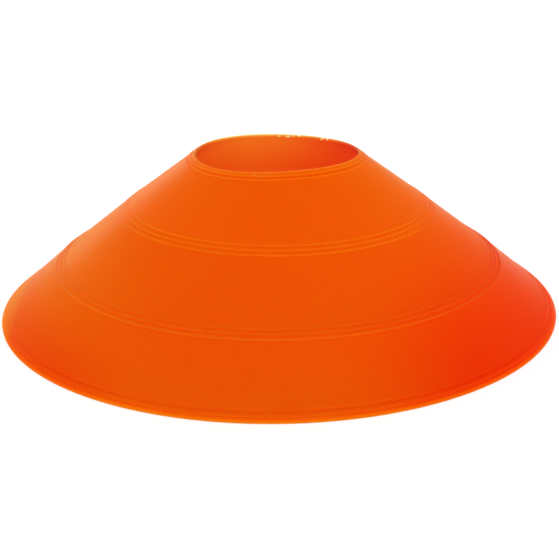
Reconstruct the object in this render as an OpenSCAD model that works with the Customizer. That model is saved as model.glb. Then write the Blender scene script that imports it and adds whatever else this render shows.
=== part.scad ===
// Sports marker cone: a low, open-topped cone moulded in one thin wall.
// Millimetres. +Z is up, and the origin is on the ground at the middle of the foot.
// The wall runs through four corners, from the opening down to the foot. Each node is one
// length of it, cut square to the wall, and meets the next length face to face.

/* [Overall] */
// Outside diameter of the foot
foot_d = 190; // [180:1:206]
// Height of the opening's edge above the ground, before its corner is rounded
cone_h = 52; // [46:0.1:58]
// Diameter of the opening across its upper edge
opening_d = 55; // [48:0.5:62]
// Thickness of the wall, measured square to it
wall_t = 1.3; // [1:0.05:1.7]

/* [Ring bands] */
// Diameter of the cone at the middle of the upper ring band
upper_band_d = 103.8; // [96:0.2:112]
// Height of the middle of the upper ring band above the ground
upper_band_z = 33.9; // [30:0.1:38]
// Diameter of the cone at the middle of the lower ring band
lower_band_d = 148.6; // [140:0.2:156]
// Height of the middle of the lower ring band above the ground
lower_band_z = 16.8; // [13:0.1:20]

/* [Rings] */
// Distance from one ring of a band to the next, along the wall
ring_pitch = 1.76; // [1.5:0.02:2.2]
// Width of a ring where it rises from the wall
ring_w = 0.94; // [0.7:0.02:1.2]
// How far the rings round the opening stand above the wall
opening_ring_rise = 0.2; // [0.1:0.01:0.3]
// How far the rings of the upper band stand above the wall
upper_ring_rise = 0.22; // [0.1:0.01:0.34]
// How far the rings of the lower band stand above the wall
lower_ring_rise = 0.3; // [0.1:0.01:0.34]
// How far the rings of the foot stand above the wall
foot_ring_rise = 0.26; // [0.1:0.01:0.34]

/* [Edges] */
// Height of the upright land inside the opening, where its lower corner is trimmed
opening_land_h = 0.45; // [0.2:0.05:0.8]
// Height of the upright edge round the foot
foot_edge_h = 0.3; // [0.1:0.05:0.6]
// Distance from the foot's edge up the wall to the higher ring of the foot
foot_ring_inset = 3.8; // [3:0.1:5]

/* [Hidden] */
$fn = 180;
wall_colour = "darkorange";
band_colour = "orangered";

// Corners of the outer face as [radius, height], from the opening to the foot
corners = [
    [opening_d / 2, cone_h],
    [upper_band_d / 2, upper_band_z],
    [lower_band_d / 2, lower_band_z],
    [foot_d / 2, foot_edge_h]
];

// Rings of a band on each side of its middle one
side_rings = 1;
// Rings of the rim below the one that rounds its edge
rim_rings = 2;
// How far the rounded edge runs past the cut end of the rim, so that their faces cross
edge_overrun = 0.02;

// Lengths of half a band, the rim and the foot, which end half a pitch past their last rings
half_pitch = ring_pitch / 2;
half_band = side_rings * ring_pitch + half_pitch;
rim_len = rim_rings * ring_pitch + half_pitch;
foot_len = foot_ring_inset + half_pitch;

// Wall i runs from corner i to corner i + 1
function run(i) = norm(corners[i + 1] - corners[i]);
function along(i) = (corners[i + 1] - corners[i]) / run(i);
function outward(i) = [-along(i).y, along(i).x];

// Point on the outer face of wall i, a distance past its upper corner
function on_wall(i, past) = corners[i] + past * along(i);

// Points of the inner face, below a point of wall i and below corner i
function below_wall(i, past) = on_wall(i, past) - wall_t * outward(i);
function below_corner(i) =
    corners[i] - wall_t * (outward(i - 1) + outward(i)) / (1 + outward(i - 1) * outward(i));

// Where the line along wall i through a point meets the ground
function on_ground(i, point) = point - point.y / along(i).y * along(i);

// Radius of the circle that a ring of a given rise is a part of
function ring_r(rise) = (ring_w * ring_w / 4 + rise * rise) / (2 * rise);

// One round-backed ring on wall i, sunk so that only its rise shows
module ring(i, past, rise) {
    rotate_extrude()
        translate(on_wall(i, past) - (ring_r(rise) - rise) * outward(i))
            circle(ring_r(rise));
}

// One plain length of wall i, from one distance past its upper corner to another
module wall(i, from, to) {
    rotate_extrude()
        polygon([on_wall(i, from), on_wall(i, to), below_wall(i, to), below_wall(i, from)]);
}

// A length of wall that bends at corner i and carries rings, the middle one on the corner
module ring_band(i, rise) {
    above = run(i - 1) - half_band;
    rotate_extrude()
        polygon([
            on_wall(i - 1, above),
            corners[i],
            on_wall(i, half_band),
            below_wall(i, half_band),
            below_corner(i),
            below_wall(i - 1, above)
        ]);
    ring(i, 0, rise);
    for (k = [1 : side_rings]) {
        ring(i - 1, run(i - 1) - k * ring_pitch, rise);
        ring(i, k * ring_pitch, rise);
    }
}

// Rim of the opening. A ring rounds its edge over, and its end is cut square to the wall down
// to a short upright land.
module opening_rim() {
    edge_r = ring_r(opening_ring_rise);
    edge_drop = edge_r - opening_ring_rise;
    inner_corner = below_wall(0, 0);
    land_in = opening_land_h / (outward(0).y / outward(0).x - along(0).y / along(0).x);
    color(band_colour) {
        rotate_extrude()
            polygon([
                on_wall(0, 0) - edge_drop * outward(0),
                on_wall(0, edge_r),
                on_wall(0, rim_len),
                below_wall(0, rim_len),
                inner_corner + land_in / along(0).x * along(0),
                inner_corner + land_in / outward(0).x * outward(0)
            ]);
        ring(0, edge_r - edge_overrun, opening_ring_rise);
        for (k = [1 : rim_rings])
            ring(0, k * ring_pitch, opening_ring_rise);
    }
}

module upper_wall() {
    color(wall_colour)
        wall(0, rim_len, run(0) - half_band);
}

module upper_ring_band() {
    color(band_colour)
        ring_band(1, upper_ring_rise);
}

module middle_wall() {
    color(wall_colour)
        wall(1, half_band, run(1) - half_band);
}

module lower_ring_band() {
    color(band_colour)
        ring_band(2, lower_ring_rise);
}

module lower_wall() {
    color(wall_colour)
        wall(2, half_band, run(2) - foot_len);
}

// Rim of the foot, with two rings, an upright edge and a flat ring to stand on
module foot_rim() {
    top = run(2) - foot_len;
    color(band_colour) {
        rotate_extrude()
            polygon([
                on_wall(2, top),
                corners[3],
                [foot_d / 2, 0],
                on_ground(2, below_wall(2, top)),
                below_wall(2, top)
            ]);
        ring(2, run(2) - foot_ring_inset, foot_ring_rise);
        ring(2, run(2) - ring_pitch, foot_ring_rise);
    }
}

opening_rim();
upper_wall();
upper_ring_band();
middle_wall();
lower_ring_band();
lower_wall();
foot_rim();
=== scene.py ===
from math import atan2, cos, pi, radians, sin

import bmesh
import bpy
from mathutils import Matrix, Vector


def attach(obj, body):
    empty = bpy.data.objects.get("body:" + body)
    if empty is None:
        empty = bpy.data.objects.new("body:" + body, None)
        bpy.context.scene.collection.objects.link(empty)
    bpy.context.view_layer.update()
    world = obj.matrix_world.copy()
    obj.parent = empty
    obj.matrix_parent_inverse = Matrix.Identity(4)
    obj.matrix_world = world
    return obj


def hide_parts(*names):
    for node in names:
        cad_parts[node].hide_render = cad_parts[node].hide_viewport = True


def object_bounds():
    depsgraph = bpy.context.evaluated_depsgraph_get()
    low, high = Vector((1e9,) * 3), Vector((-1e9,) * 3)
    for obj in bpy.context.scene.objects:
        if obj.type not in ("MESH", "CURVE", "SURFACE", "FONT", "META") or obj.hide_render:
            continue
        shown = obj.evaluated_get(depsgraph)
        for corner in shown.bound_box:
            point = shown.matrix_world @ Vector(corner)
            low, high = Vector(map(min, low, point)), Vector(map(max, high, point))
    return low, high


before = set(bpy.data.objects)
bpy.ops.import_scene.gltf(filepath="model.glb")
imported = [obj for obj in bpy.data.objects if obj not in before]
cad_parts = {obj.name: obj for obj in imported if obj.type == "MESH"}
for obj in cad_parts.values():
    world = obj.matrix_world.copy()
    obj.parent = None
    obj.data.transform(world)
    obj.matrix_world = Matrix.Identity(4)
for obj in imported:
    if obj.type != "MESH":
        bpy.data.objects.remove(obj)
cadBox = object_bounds()
mm = 0.001  # the frame is in metres
print("frame loaded:", len(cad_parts), "nodes")


class Wire:  # a node's output, which can stand in a sum
    def __init__(self, graph, socket):
        self.graph = graph
        self.socket = socket

    def maths(self, operation, a, b):
        return self.graph.node("Math", {"operation": operation}, {0: a, 1: b})

    def __add__(self, other):
        return self.maths("ADD", self, other)

    def __radd__(self, other):
        return self.maths("ADD", other, self)

    def __sub__(self, other):
        return self.maths("SUBTRACT", self, other)

    def __rsub__(self, other):
        return self.maths("SUBTRACT", other, self)

    def __mul__(self, other):
        return self.maths("MULTIPLY", self, other)

    def __rmul__(self, other):
        return self.maths("MULTIPLY", other, self)


class Graph:  # the nodes of one material or world
    def __init__(self, owner):
        owner.use_nodes = True
        self.tree = owner.node_tree
        self.tree.nodes.clear()

    def node(self, kind, settings={}, inputs={}, output=0):
        made = self.tree.nodes.new("ShaderNode" + kind)
        for name, value in settings.items():
            setattr(made, name, value)
        for name, value in inputs.items():
            if isinstance(value, Wire):
                self.tree.links.new(value.socket, made.inputs[name])
            else:
                made.inputs[name].default_value = value
        return Wire(self, made.outputs[output]) if len(made.outputs) else made

    def mixColour(self, factor, a, b):
        return self.node("Mix", {"data_type": "RGBA"}, {0: factor, 6: a, 7: b}, 2)

    def between(self, value, low, high):  # 0 up to low, 1 from high on, smooth between them
        settings = {"interpolation_type": "SMOOTHSTEP"}
        return self.node("MapRange", settings, {0: value, 1: low, 2: high})

    def rise(self, place, span):  # the same with the span in millimetres
        return self.between(place, span[0] * mm, span[1] * mm)

    def fall(self, place, span):
        return 1 - self.rise(place, span)

    def noise(self, place, scale, detail):
        return self.node("TexNoise", inputs={"Vector": place, "Scale": scale, "Detail": detail})

    def axes(self, vector):
        return [self.node("SeparateXYZ", inputs={0: vector}, output=i) for i in range(3)]

    def attribute(self, name):
        return self.node("Attribute", {"attribute_name": name}, output="Fac")

    def seen(self):  # 1 where the camera looks, straight or by way of metal or glass
        rays = ("Is Camera Ray", "Is Glossy Ray", "Is Transmission Ray")
        return sum(self.node("LightPath", output=ray) for ray in rays)


# Camera: placed by a fit of the foot, the ring bands and the opening
view = {
    "distance": 335.65 * mm,  # from the cone's axis
    "height": 131.0 * mm,  # above the floor
    "down": 20.50,  # degrees
    "turn": 0.086,
    "roll": 0.779,
    "pictureWidth": 559,  # pixels
    "focalLength": 1017.95,  # pixels
    "sensorWidth": 36,  # millimetres, as the lens is
    "offCentre": (-0.5, 0.5),  # pixels from the picture's middle to the lens's, right and up
    "nearest": 10 * mm,  # nearer things aren't drawn
}


def makeCamera():
    down, turn, roll = (radians(view[name]) for name in ("down", "turn", "roll"))
    forward = Vector((sin(turn) * cos(down), cos(turn) * cos(down), -sin(down)))
    level = Vector((cos(turn), -sin(turn), 0))
    upright = level.cross(forward)
    right = cos(roll) * level - sin(roll) * upright
    up = sin(roll) * level + cos(roll) * upright
    data = bpy.data.cameras.new("camera")
    data.sensor_width = view["sensorWidth"]
    data.lens = view["focalLength"] / view["pictureWidth"] * view["sensorWidth"]
    data.shift_x, data.shift_y = (part / view["pictureWidth"] for part in view["offCentre"])
    data.clip_start = view["nearest"]
    camera = bpy.data.objects.new("camera", data)
    camera.matrix_world = Matrix.LocRotScale(
        Vector((0, -view["distance"], view["height"])),
        Matrix((right, up, -forward)).transposed().to_quaternion(),
        None,
    )
    bpy.context.scene.collection.objects.link(camera)
    bpy.context.scene.camera = camera


makeCamera()
bpy.context.scene.view_settings.view_transform = "Standard"
print("camera made")


# Shell: the whole moulding, drawn as one outline and spun round the axis
shell = {
    # just inside the CAD box, so that the round foot doesn't pass it
    "footR": min(cadBox[1].x, cadBox[1].y, -cadBox[0].x, -cadBox[0].y) - 0.005 * mm,
    "openingR": 27.49 * mm,
    "topZ": 51.63 * mm,
    "upperBandR": 51.94 * mm,
    "upperBandZ": 33.88 * mm,
    "lowerBandR": 74.29 * mm,
    "lowerBandZ": 16.76 * mm,
    "footZ": 0.3 * mm,  # top of the foot's upright edge
    "wall": 1.3 * mm,
    "cutR": 27.45 * mm,  # of the upright cut that ends the wall at the opening
    "cutWall": 1.1 * mm,  # the wall is thinner there
    "edgeR": 0.3 * mm,  # rounding of the opening's outer edge
    "footEdgeR": 0.2 * mm,
    "groundR": 0.07 * mm,  # rounding under the foot's edge
    "smallR": 0.15 * mm,  # rounding of the other edges
    "innerR": 3 * mm,  # rounding of the bends of the inner face
    "edgeSteps": 8,  # along a rounding
    "footEdgeSteps": 6,
    "smallSteps": 4,
    "ringSteps": 10,  # across a ring
    "turnSteps": 512,  # round the axis
    "mergeDistance": 0.002 * mm,
    "insideFromZ": 0.4 * mm,  # the faces towards the axis have the inside plastic above this
    # Rings of each wall, from the opening down: distance past the wall's upper corner, rise,
    # and how much lighter the crest is painted, a painted highlight (painted shade below 0). A
    # distance below lastAbove is measured up from the wall's lower corner.
    "rings": [
        [(2.15, 0.17, 1.6), (2.95, 0, -0.4), (3.75, 0.17, 1.3), (-1.9, 0.14, 1.7)],
        [(-0.12, 0.14, 1.7), (1.66, 0.14, 1.7), (-1.76, 0.27, 0.3)],
        [(0, 0.27, 0.3), (1.76, 0.27, 1), (-3.8, 0.2, 0), (-2.9, 0, -0.3), (-1.75, 0.13, 0.3)],
    ],
    # How far the outer face of each wall bows out, at distances that count the same way
    "bows": [
        [(-1.9, 0.06)],
        [(1.9, -0.01), (-1.9, -0.135)],
        [(1.9, 0.15), (-2.9, -0.29)],
    ],
    "lastAbove": -0.5,
    "ringW": 1.0 * mm,
    "crestW": 0.9 * mm,  # width of the painted highlight line on a ring
    "crestUp": 0.12 * mm,  # how far above the ring's middle that line lies
    "paleRim": 0.9 * mm,  # width of the painted light band below the opening's edge
    "paleFoot": 1.4 * mm,  # width of the painted light line along the foot's edge
    "bandLight": 1.3,  # how much lighter the painted light band below the opening's edge is
    "rimLight": 0.2,  # painted light on the cut edge of the opening
    "footLight": 2.4,  # and painted light on the foot's edge
    "edgeW": 1.2 * mm,  # the opening's and the foot's edges reach so far
    "edgeFade": 0.6,  # how much of the painted light on the edges is lost at the left and right
    "ringFade": 1.4,  # and of the rings' painted highlights, which turn to painted shade there
    "lean": -0.0103,  # how much the whole cone falls to the right
}


def outerCorners():
    return [
        Vector((shell["openingR"], shell["topZ"])),
        Vector((shell["upperBandR"], shell["upperBandZ"])),
        Vector((shell["lowerBandR"], shell["lowerBandZ"])),
        Vector((shell["footR"], shell["footZ"])),
    ]


def outward(a, b):  # square to the wall from a to b, away from the axis
    along = (b - a).normalized()
    return Vector((-along.y, along.x))


def arc(centre, radius, start, end, count):  # angles in radians
    angles = [start + (end - start) * i / count for i in range(count + 1)]
    return [centre + radius * Vector((cos(t), sin(t))) for t in angles]


def roundedCorner(before, corner, after, radius, count):
    a = (before - corner).normalized()
    b = (after - corner).normalized()
    half = a.angle(b) / 2
    reach = radius / (sin(half) / cos(half))
    centre = corner + (a + b).normalized() * radius / sin(half)
    start = corner + a * reach - centre
    end = corner + b * reach - centre
    t0 = atan2(start.y, start.x)
    t1 = atan2(end.y, end.x)
    if t1 - t0 > pi:
        t1 -= 2 * pi
    if t0 - t1 > pi:
        t1 += 2 * pi
    return arc(centre, radius, t0, t1, count)


def fromTop(table, length):  # the rows of a wall's table, with each distance from its upper corner
    rows = []
    for past, *rest in table:
        rows.append((past * mm + (length if past < shell["lastAbove"] else 0), *rest))
    return sorted(rows)


def bump(away, width):  # 1 at the middle of a round back, 0 from its sides on
    return cos(pi * away / width) ** 2 if abs(away) < width / 2 else 0


def outerFace():
    corners = outerCorners()
    width = shell["ringW"]
    count = shell["ringSteps"]
    points = []
    for wall, (a, b) in enumerate(zip(corners, corners[1:])):
        length = (b - a).length
        backs = fromTop(shell["rings"][wall], length)
        lines = [(middle - shell["crestUp"], light) for middle, _, light in backs]
        bow = [(0, 0)] + fromTop(shell["bows"][wall], length) + [(length, 0)]
        steps = {s for s, _ in bow[1:-1]}
        steps.update(s + width * (i / count - 0.5) for s, _, _ in backs for i in range(count + 1))
        if wall == 0:
            steps.update((shell["paleRim"], shell["paleRim"] + width / 2))
        if wall == 2:
            steps.add(length - shell["paleFoot"])
        for s in sorted(steps):
            out = sum(rise * bump(s - middle, width) for middle, rise, _ in backs)
            for (s0, out0), (s1, out1) in zip(bow, bow[1:]):
                if s0 < s <= s1 or (s < 0 and s0 == 0) or (s > length and s1 == length):
                    out += out0 + (out1 - out0) * (s - s0) / (s1 - s0)
            place = a + (b - a).normalized() * s + outward(a, b) * out * mm
            # the painted highlights on the crests, painted shade where they are below 0, and the
            # painted highlight band below the opening's edge
            paintedLight = sum(light * bump(s - middle, shell["crestW"]) for middle, light in lines)
            if wall == 0 and s <= shell["paleRim"]:
                paintedLight = max(paintedLight, shell["bandLight"])
            points.append((place, paintedLight))
    return points


def innerCorners():
    corners = outerCorners()
    t = shell["wall"]
    walls = [outward(a, b) for a, b in zip(corners, corners[1:])]
    drop = (corners[1] - corners[0]).normalized()
    cut = corners[0] - shell["cutWall"] * walls[0]
    inner = [cut + drop * (shell["cutR"] - cut.x) / drop.x]
    for corner, n0, n1 in zip(corners[1:-1], walls, walls[1:]):
        inner.append(corner - t * (n0 + n1) / (1 + n0.dot(n1)))
    low = corners[3] - t * walls[2]
    along = (corners[3] - corners[2]).normalized()
    inner.append(low - along * low.y / along.y)
    return inner


def outline():  # points of the section, each with how much light or shade is painted on it
    corners = outerCorners()
    inner = innerCorners()
    ground = Vector((shell["footR"], 0))
    drop = corners[1] - corners[0]
    top = corners[0] + drop * (shell["cutR"] - corners[0].x) / drop.x
    few = shell["smallSteps"]
    rim = roundedCorner(inner[0], top, corners[1], shell["edgeR"], shell["edgeSteps"])
    foot = roundedCorner(corners[2], corners[3], ground, shell["footEdgeR"], shell["footEdgeSteps"])
    foot += roundedCorner(corners[3], ground, inner[3], shell["groundR"], few)
    inside = roundedCorner(ground, inner[3], inner[2], shell["smallR"], few)
    inside += roundedCorner(inner[3], inner[2], inner[1], shell["innerR"], few)
    inside += roundedCorner(inner[2], inner[1], inner[0], shell["innerR"], few)
    lip = roundedCorner(inner[1], inner[0], top, shell["smallR"], few)
    # painted light on the opening's cut edge, the lip and the foot's edge
    points = [(p, shell["rimLight"]) for p in rim] + outerFace()
    points += [(p, shell["footLight"]) for p in foot] + [(p, 0) for p in inside]
    return points + [(p, shell["rimLight"] * i / few) for i, p in enumerate(lip)]


# The opening isn't quite round or flat. These changes fade out down to the upper band.
opening = {
    "smaller": 0.2 * mm,
    "back": 1.2 * mm,  # how far it is set back
    "oval": 0.4 * mm,  # out at the back left and front right, in between them
    "drop": 0.15 * mm,
    "tilt": 0.45 * mm,  # up at the right
    "twist": 0.4 * mm,  # up at the front right and back left, down between them
    "wave": 0.15 * mm,  # up and down three times round
    "backUp": 0.22 * mm,  # up at the back, and less towards the front
}


def bendOpening(v):
    r = v.co.xy.length
    fade = 1 - (r - shell["openingR"]) / (shell["upperBandR"] - shell["openingR"])
    fade = min(max(fade, 0), 1) ** 2
    if fade == 0:
        return
    turn = atan2(v.co.x, -v.co.y)
    out = opening["oval"] * sin(2 * turn) - opening["smaller"] - opening["back"] * cos(turn)
    up = opening["tilt"] * sin(turn) + opening["twist"] * sin(2 * turn) - opening["drop"]
    up += opening["wave"] * cos(3 * turn) + opening["backUp"] * sin(turn / 2) ** 4
    v.co.x *= 1 + out * fade / r
    v.co.y *= 1 + out * fade / r
    v.co.z += up * fade


def lightLeft(v):  # how much is left of the painted light lines, which is least at the left and right, where the ring crests turn to painted shade
    onRing = shell["openingR"] + shell["edgeW"] < v.co.xy.length < shell["footR"] - shell["edgeW"]
    side = sin(atan2(v.co.x, v.co.y)) ** 4
    return 1 - (shell["ringFade"] * side ** 2 if onRing else shell["edgeFade"] * side)


def makeShell():
    bm = bmesh.new()
    # an attribute that carries the painted light and shade
    light = bm.verts.layers.float.new("paintedLight")
    section = []
    for place, paintedLight in outline():
        section.append(bm.verts.new((place.x, 0, place.y)))
        section[-1][light] = paintedLight
    for a, b in zip(section, section[1:] + section[:1]):
        bm.edges.new((a, b))
    bmesh.ops.spin(
        bm, geom=bm.verts[:] + bm.edges[:], cent=(0, 0, 0), axis=(0, 0, 1), angle=2 * pi,
        steps=shell["turnSteps"], use_merge=True,
    )
    bmesh.ops.remove_doubles(bm, verts=bm.verts, dist=shell["mergeDistance"])
    bmesh.ops.recalc_face_normals(bm, faces=bm.faces)
    for v in bm.verts:
        v[light] *= lightLeft(v)
        bendOpening(v)
        v.co.z += v.co.z / shell["topZ"] * shell["lean"] * v.co.x
    for f in bm.faces:
        f.smooth = True
        middle = f.calc_center_median()
        inwards = f.normal.x * middle.x + f.normal.y * middle.y < 0
        f.material_index = 1 if inwards and middle.z > shell["insideFromZ"] else 0
    mesh = bpy.data.meshes.new("coneShell")
    bm.to_mesh(mesh)
    bm.free()
    piece = bpy.data.objects.new("coneShell", mesh)
    bpy.context.scene.collection.objects.link(piece)
    return piece


# Cone plastic: soft orange polyethylene that lets some light through
plastic = {
    "outsideDepth": (2, 0.8, 0.3),  # how far red, green and blue light spread, in millimetres
    "insideDepth": (60, 11, 6),
    "outside": (0.098, 0.0012),  # green and blue of the colour, whose red is 1
    # the inside's own colour is painted light: less green and bluer, so that the inside looks lit
    # through the wall
    "inside": (0.082, 0.018),
    "paintedLightGreen": 0.045,  # painted light and shade: more green on the rings' crests and the edges, less where it is below 0
    "paintedEndsLight": 0.08,  # painted light: a share more green near the opening and near the ground
    "openingZ": (30, 52),  # millimetres, where that starts and is full
    "groundZ": (2, 14),
    "cloudScale": 30,  # broad, faint clouds in the colour and the gloss
    "cloudGreen": 0.08,
    "cloudRoughness": 0.06,
    "grainScale": 900,  # fine grain of the surface
    "grainDepth": 0.05 * mm,
    "grainStrength": 0.05,
    "roughness": 0.25,
    "refraction": 1.5,
    "shine": 0.0014,
    "bloom": (1, 0.63, 0.22, 1),  # colour of the soft light along the sides
    "outsideBloom": 0.23,
    "insideBloom": 0,
    "bloomRoughness": 0.35,
}

# Painted shade and sheen: where the plastic is painted redder (painted shade) or less red (painted
# sheen): spans along x or z in millimetres, each from where the change starts to where it is full,
# and shares of the green
paintedShadeSheen = {
    "rightLowX": (10, 57),
    "rightLowZ": (0, 45),
    "rightLow": 0.64,
    "leftLowX": (-68, -36),
    "leftLowZ": (1, 15),
    "leftLow": 0.42,
    "farLeftX": (-93, -84),
    "farLeft": 0.35,
    "leftX": (-84, -34),
    "leftZ": (4, 26),
    "left": 0.3,
    "rightX": (34, 84),
    "right": 0.1,
    "insideX": (-12, 26),
    "inside": 0.5,
}

# Painted glints: small pale spots on the trimmed edge of the opening, where it catches the light
paintedGlints = {
    "places": [  # from and to, across, in millimetres, and 1 at the back or -1 at the front
        (0.2, 1.8, 1), (3, 5.4, 1), (5.6, 9, 1), (15.2, 19.6, 1), (-8, -1.5, -1),
    ],
    "fade": 1,  # millimetres
    "colour": (1, 0.7, 0.3, 1),
    "scale": 700,  # of the noise that makes the spots
    "spots": (0.48, 0.56),  # of the noise, where a spot starts and is full
    "aboveZ": (49.9, 50.2),
    "onEdge": (0.7, 0.9),  # shares of rimLight, where the cut edge starts
    "offEdge": (1.1, 1.6),  # and where it ends
}


def paintedGlintMask(g, place, x, y, z, paintedLight):
    dots = g.between(g.noise(place, paintedGlints["scale"], 1), *paintedGlints["spots"])
    fade = paintedGlints["fade"]
    spots = 0
    for low, high, half in paintedGlints["places"]:
        across = g.rise(x, (low, low + fade)) * g.fall(x, (high - fade, high))
        spots = across * g.rise(half * y, (0, fade)) + spots
    start, full = (share * shell["rimLight"] for share in paintedGlints["onEdge"])
    edge = g.between(paintedLight, start, full)
    start, full = (share * shell["rimLight"] for share in paintedGlints["offEdge"])
    edge = edge * (1 - g.between(paintedLight, start, full))
    return dots * spots * edge * g.rise(z, paintedGlints["aboveZ"])


def conePlastic(name, shadeSheen):  # its painted shade and sheen is built from x and z
    material = bpy.data.materials.new(name + "Plastic")
    g = Graph(material)
    place = g.node("TexCoord", output=3)
    grain = g.noise(place, plastic["grainScale"], 3)
    cloud = g.noise(place, plastic["cloudScale"], 2)
    x, y, z = g.axes(place)
    paintedLight = g.attribute("paintedLight")
    green, blue = plastic[name]
    # painted light near the opening and near the ground
    ends = plastic["paintedEndsLight"] * g.rise(z, plastic["openingZ"])
    ends = ends + plastic["paintedEndsLight"] * g.fall(z, plastic["groundZ"])
    green = green * (1 - plastic["cloudGreen"] / 2 + plastic["cloudGreen"] * cloud + ends)
    # adds the painted shade and sheen, and the painted light and shade from the attribute
    green = green * (1 - shadeSheen(g, x, z)) + plastic["paintedLightGreen"] * paintedLight
    colour = g.node("CombineColor", inputs={0: 1.0, 1: green, 2: blue})
    # mixes in the painted glints on the opening's edge
    colour = g.mixColour(paintedGlintMask(g, place, x, y, z, paintedLight), colour, paintedGlints["colour"])
    bump = g.node("Bump", inputs={
        "Strength": plastic["grainStrength"], "Distance": plastic["grainDepth"], "Height": grain,
    })
    surface = g.node("BsdfPrincipled", inputs={
        "Base Color": colour,
        "Roughness": plastic["roughness"] + plastic["cloudRoughness"] * (cloud - 0.5),
        "IOR": plastic["refraction"],
        "Specular IOR Level": plastic["shine"],
        "Sheen Weight": plastic[name + "Bloom"],
        "Sheen Roughness": plastic["bloomRoughness"],
        "Sheen Tint": plastic["bloom"],
        "Subsurface Weight": 1,
        "Subsurface Radius": plastic[name + "Depth"],
        "Subsurface Scale": 1 * mm,
        "Normal": bump,
    })
    g.node("OutputMaterial", inputs={"Surface": surface})
    return material


def paintedShadeSheenOutside(g, x, z):  # painted shade, most low down at the right, and painted sheen, less red, at the left
    rightLow = g.rise(x, paintedShadeSheen["rightLowX"]) * g.fall(z, paintedShadeSheen["rightLowZ"])
    leftLow = g.fall(x, paintedShadeSheen["leftLowX"]) * g.fall(z, paintedShadeSheen["leftLowZ"])
    farLeft = g.fall(x, paintedShadeSheen["farLeftX"])
    left = g.fall(x, paintedShadeSheen["leftX"]) * g.rise(z, paintedShadeSheen["leftZ"])
    right = g.rise(x, paintedShadeSheen["rightX"])
    low = paintedShadeSheen["rightLow"] * rightLow + paintedShadeSheen["leftLow"] * leftLow * (1 - farLeft)
    return low + paintedShadeSheen["right"] * right - paintedShadeSheen["left"] * left - paintedShadeSheen["farLeft"] * farLeft


def paintedShadeInside(g, x, z):  # painted shade of the inside, towards the right
    return paintedShadeSheen["inside"] * g.rise(x, paintedShadeSheen["insideX"])


cone = makeShell()
cone.data.materials.append(conePlastic("outside", paintedShadeSheenOutside))
cone.data.materials.append(conePlastic("inside", paintedShadeInside))
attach(cone, "root")
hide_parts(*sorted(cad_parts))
print("shell made:", len(cone.data.polygons), "faces")


# Studio: a pale floor, a bright room and soft panels
studio = {
    "floorR": 4.0,
    "floorSides": 64,
    "floorColour": (0.9, 0.9, 0.9, 1),
    "floorGlow": 0.18,  # only for what sees the floor, so that it looks white
    "room": 0.85,
    "panelAim": (0, 0, 0.02),
    "panels": [  # name, place, size, watts, colour, and whether a glossy surface shows it
        ("leftPanel", (-0.7, -0.5, 1.2), (0.8, 0.8), 0.9, (1, 1, 1), False),
        ("frontPanel", (-0.15, -1.3, 0.35), (1.2, 0.5), 0.9, (1, 1, 1), False),
        ("rightPanel", (0.95, -0.2, 1.0), (0.6, 0.6), 1.8, (1, 1, 1), False),
        ("backPanel", (-0.66, 1.4, 0.38), (0.6, 0.6), 6.5, (0.55, 0.95, 0.75), True),
    ],
}


def makeFloor():
    material = bpy.data.materials.new("paleFloor")
    g = Graph(material)
    plain = g.node("BsdfDiffuse", inputs={"Color": studio["floorColour"]})
    glow = g.node("Emission", inputs={"Strength": g.seen() * studio["floorGlow"]})
    g.node("OutputMaterial", inputs={"Surface": g.node("AddShader", inputs={0: plain, 1: glow})})
    sides, radius = studio["floorSides"], studio["floorR"]
    bm = bmesh.new()
    bmesh.ops.create_circle(bm, cap_ends=True, segments=sides, radius=radius)
    mesh = bpy.data.meshes.new("floor")
    bm.to_mesh(mesh)
    bm.free()
    mesh.materials.append(material)
    floor = bpy.data.objects.new("floor", mesh)
    bpy.context.scene.collection.objects.link(floor)


def makeRoom():
    world = bpy.data.worlds.new("room")
    bpy.context.scene.world = world
    g = Graph(world)
    level = studio["room"] + (1 - studio["room"]) * g.seen()
    light = g.node("Background", inputs={"Color": (1, 1, 1, 1), "Strength": level})
    g.node("OutputWorld", inputs={"Surface": light})


def makePanel(name, place, size, power, colour, shines):
    data = bpy.data.lights.new(name, "AREA")
    data.color = colour
    data.shape = "RECTANGLE"
    data.size, data.size_y = size
    data.energy = power
    lamp = bpy.data.objects.new(name, data)
    lamp.location = place
    aim = Vector(studio["panelAim"]) - Vector(place)
    lamp.rotation_euler = aim.to_track_quat("-Z", "Y").to_euler()
    lamp.visible_camera = False
    lamp.visible_glossy = shines
    bpy.context.scene.collection.objects.link(lamp)


makeFloor()
makeRoom()
for panel in studio["panels"]:
    makePanel(*panel)
print("studio made:", len(studio["panels"]), "panels")
